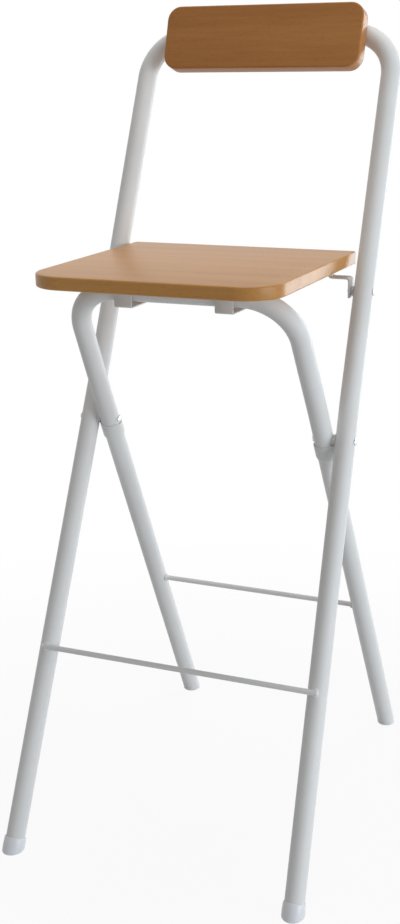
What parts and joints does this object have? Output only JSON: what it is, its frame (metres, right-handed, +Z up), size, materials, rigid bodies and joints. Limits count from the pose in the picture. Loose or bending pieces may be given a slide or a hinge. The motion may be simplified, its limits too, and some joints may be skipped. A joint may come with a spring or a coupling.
{
  "type": "folding bar stool",
  "caption": "High folding stool with crossed round-tube frames, a flat wooden seat, a low wooden backrest, thin rungs and plastic foot caps.",
  "frame": {"origin": "on the floor, under the middle of the stool's outline, with the stool open", "axes": "+Z up, -Y towards the front of the stool, +X towards the right-hand side of the picture"},
  "size_m": [0.4168, 0.5392, 1.0391],
  "materials": {
    "paint": "satin white powder coat",
    "bracket_paint": "satin off-white paint on pressed strip",
    "wood": "beech with clear matt lacquer",
    "foot_plastic": "white moulded plastic",
    "spacer_plastic": "pale grey moulded plastic",
    "rivet_steel": "zinc-plated steel",
    "screw_steel": "zinc-plated steel"
  },
  "bodies": {
    "front_frame": {"front_frame_tube": "paint", "front_rung": "paint", "front_foot_cap_left": "foot_plastic", "front_foot_cap_right": "foot_plastic", "backrest_board": "wood", "backrest_screw_left": "screw_steel", "backrest_screw_right": "screw_steel", "main_pivot_rivet_left": "rivet_steel", "main_pivot_rivet_right": "rivet_steel", "main_pivot_spacer_left": "spacer_plastic", "main_pivot_spacer_right": "spacer_plastic", "seat_pivot_rivet_left": "rivet_steel", "seat_pivot_rivet_right": "rivet_steel", "seat_pivot_spacer_left": "spacer_plastic", "seat_pivot_spacer_right": "spacer_plastic"},
    "rear_frame": {"rear_upper_tube": "paint", "rear_leg_left": "paint", "rear_leg_right": "paint", "rear_rung": "paint", "rear_foot_plug_left": "foot_plastic", "rear_foot_plug_right": "foot_plastic"},
    "seat": {"seat_board": "wood", "seat_bracket_left": "bracket_paint", "seat_bracket_right": "bracket_paint", "guide_strap_left": "bracket_paint", "guide_strap_right": "bracket_paint", "bracket_screw_left_1": "screw_steel", "bracket_screw_left_2": "screw_steel", "bracket_screw_right_1": "screw_steel", "bracket_screw_right_2": "screw_steel", "guide_screw_left_front": "screw_steel", "guide_screw_left_rear": "screw_steel", "guide_screw_right_front": "screw_steel", "guide_screw_right_rear": "screw_steel"}
  },
  "joints": [
    {"name": "frame_fold", "type": "hinge", "parent": "front_frame", "child": "rear_frame", "pos_m": [0, -0.01221, 0.525], "axis": [-1, 0, 0], "range_deg": [0, 37]},
    {"name": "seat_tilt", "type": "hinge", "parent": "front_frame", "child": "seat", "pos_m": [0, 0.06676, 0.69671], "axis": [-1, 0, 0], "range_deg": [0, 26.64]}
  ],
  "couplings": [
    {"joint": "seat_tilt", "follows": "frame_fold", "ratio": 0.72}
  ]
}
